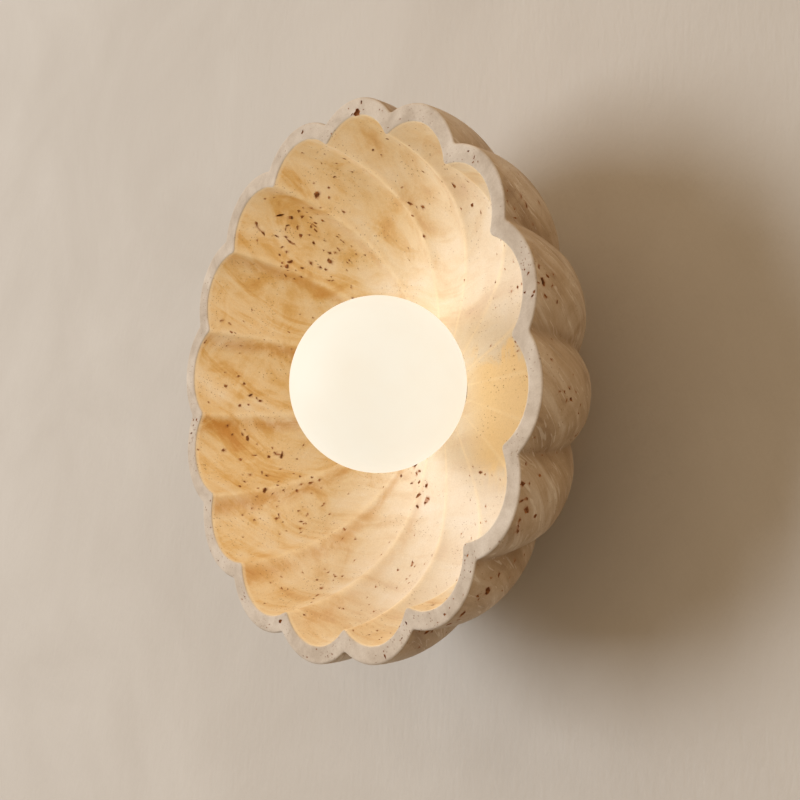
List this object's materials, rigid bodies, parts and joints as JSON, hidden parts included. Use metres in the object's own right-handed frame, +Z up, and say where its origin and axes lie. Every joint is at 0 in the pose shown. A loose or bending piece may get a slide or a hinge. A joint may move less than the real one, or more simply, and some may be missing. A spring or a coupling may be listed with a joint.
{
  "type": "flower-shaped wall lamp",
  "caption": "Round wall lamp: a fluted travertine bowl opening towards the room, with an opal glass globe over a two-pin capsule bulb at its centre.",
  "frame": {"origin": "on the wall, on the lamp's axis, midway between the two wall screws", "axes": "+Z up, +Y into the wall along the lamp's axis, +X to the right of someone facing the lamp"},
  "size_m": [0.2932, 0.1236, 0.2932],
  "materials": {
    "travertine": "honed",
    "opal_glass": "satin opal",
    "foam": "closed-cell foam",
    "zinc_steel": "zinc plated",
    "black_steel": "powder coated",
    "brass": "turned",
    "silicone": "soft",
    "black_rubber": "moulded",
    "steatite": "unglazed",
    "brown_lead": "insulation",
    "blue_lead": "insulation",
    "terminal_plastic": "moulded",
    "contact_metal": "nickel plated",
    "bulb_plastic": "moulded",
    "bulb_ceramic": "board",
    "phosphor": "phosphor",
    "clear_cover": "clear"
  },
  "bodies": {
    "mounted_base": {"travertine_bowl": "travertine", "wall_gasket": "foam", "wall_plate": "zinc_steel", "standoffs": "zinc_steel", "shade_plate": "black_steel", "shade_pad": "foam", "stone_inserts": "brass", "shade_screws": "zinc_steel", "globe_cup": "brass", "cup_screws": "zinc_steel", "lead_grommets": "black_rubber", "lamp_holder": "steatite", "holder_contacts": "contact_metal", "holder_screws": "zinc_steel", "live_lead": "brown_lead", "neutral_lead": "blue_lead", "terminal_block": "terminal_plastic", "terminal_tubes": "brass", "terminal_screws": "zinc_steel", "terminal_fixing_screw": "zinc_steel", "earth_washer": "zinc_steel", "earth_screw": "brass"},
    "seal_ring": {"globe_seal": "silicone"},
    "globe": {"glass_globe": "opal_glass"},
    "bulb": {"bulb_base": "bulb_plastic", "bulb_pins": "contact_metal", "bulb_column": "bulb_ceramic", "bulb_chips": "phosphor", "bulb_cover": "clear_cover"}
  },
  "joints": [
    {"name": "globe_advance", "type": "slide", "parent": "mounted_base", "child": "seal_ring", "axis": [0, -1, 0], "range_m": [0, 0.0088]},
    {"name": "globe_unscrew", "type": "hinge", "parent": "seal_ring", "child": "globe", "pos_m": [0, -0.076, 0], "axis": [0, -1, 0], "range_deg": [0, 630]},
    {"name": "bulb_pull", "type": "slide", "parent": "mounted_base", "child": "bulb", "axis": [0, -1, 0], "range_m": [0, 0.01]}
  ],
  "couplings": [
    {"joint": "globe_advance", "follows": "globe_unscrew", "m_per_rad": 0.00079577}
  ]
}
